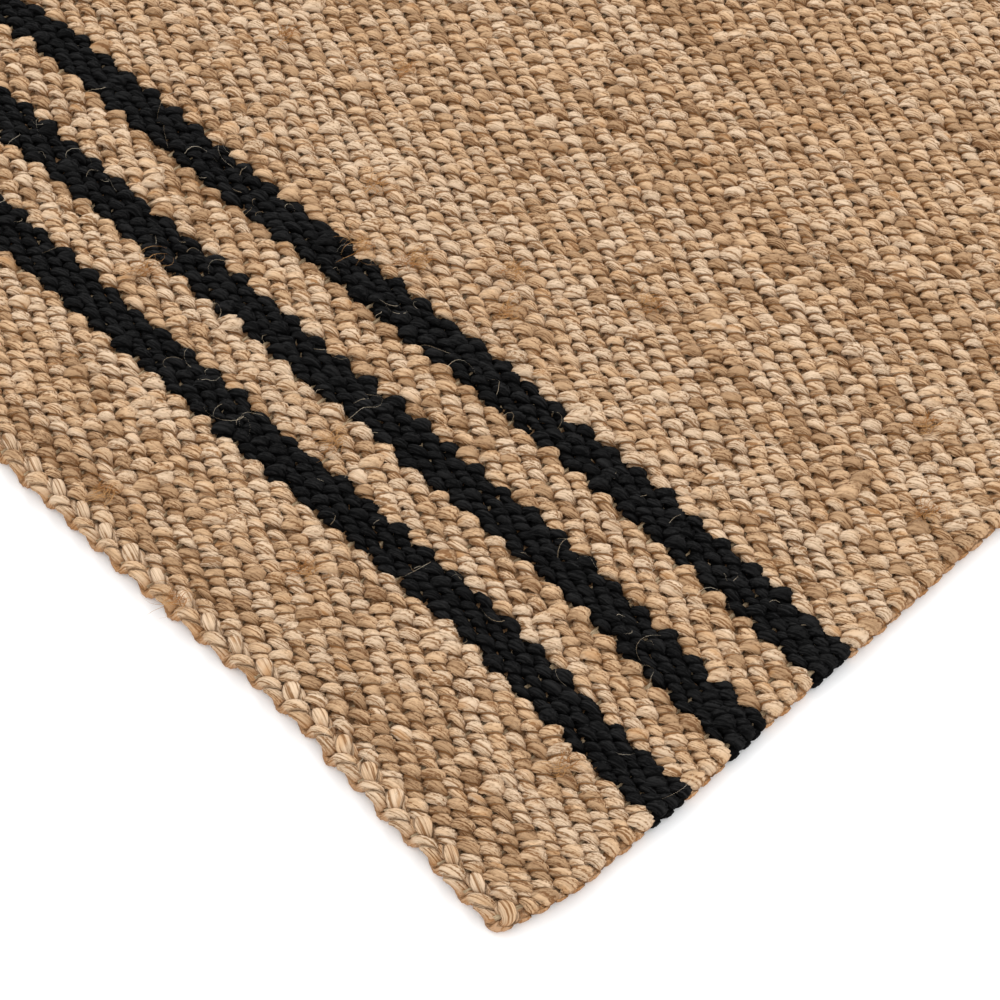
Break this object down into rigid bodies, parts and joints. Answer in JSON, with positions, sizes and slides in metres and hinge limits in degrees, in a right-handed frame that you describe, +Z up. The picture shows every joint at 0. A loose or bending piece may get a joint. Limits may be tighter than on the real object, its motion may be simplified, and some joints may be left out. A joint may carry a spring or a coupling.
{
  "type": "runner rug",
  "caption": "Long narrow flat-woven jute rug in natural straw colour with black stripes across it near each end, self-finished selvedges and corded ends without fringe.",
  "frame": {"origin": "on the floor, under the middle of the rug", "axes": "+X across the rug, the way of the weft, +Y along the rug, the way of the warp, towards end B, +Z up out of the walking face"},
  "size_m": [0.6, 1.8, 0.01],
  "materials": {
    "natural_jute": "matte plied jute yarn, straw to tan, with darker fibres and slubs",
    "black_jute": "matte black-dyed plied jute yarn with a few pale stray fibres",
    "warp_twine": "matte thin natural twine"
  },
  "bodies": {
    "root": {"end_a_band": "natural_jute", "end_a_outer_stripe": "black_jute", "end_a_outer_gap": "natural_jute", "end_a_middle_stripe": "black_jute", "end_a_inner_gap": "natural_jute", "end_a_inner_stripe": "black_jute", "end_b_band": "natural_jute", "end_b_outer_stripe": "black_jute", "end_b_outer_gap": "natural_jute", "end_b_middle_stripe": "black_jute", "end_b_inner_gap": "natural_jute", "end_b_inner_stripe": "black_jute", "main_field": "natural_jute", "end_a_cord_upper_strand": "natural_jute", "end_a_cord_lower_strand": "natural_jute", "end_b_cord_upper_strand": "natural_jute", "end_b_cord_lower_strand": "natural_jute", "warp_section_1": "warp_twine", "warp_section_2": "warp_twine", "warp_section_3": "warp_twine", "warp_section_4": "warp_twine", "warp_section_5": "warp_twine", "warp_section_6": "warp_twine", "warp_section_7": "warp_twine", "warp_section_8": "warp_twine", "warp_section_9": "warp_twine", "selvedge_warp_left": "warp_twine", "selvedge_warp_right": "warp_twine"}
  },
  "joints": []
}
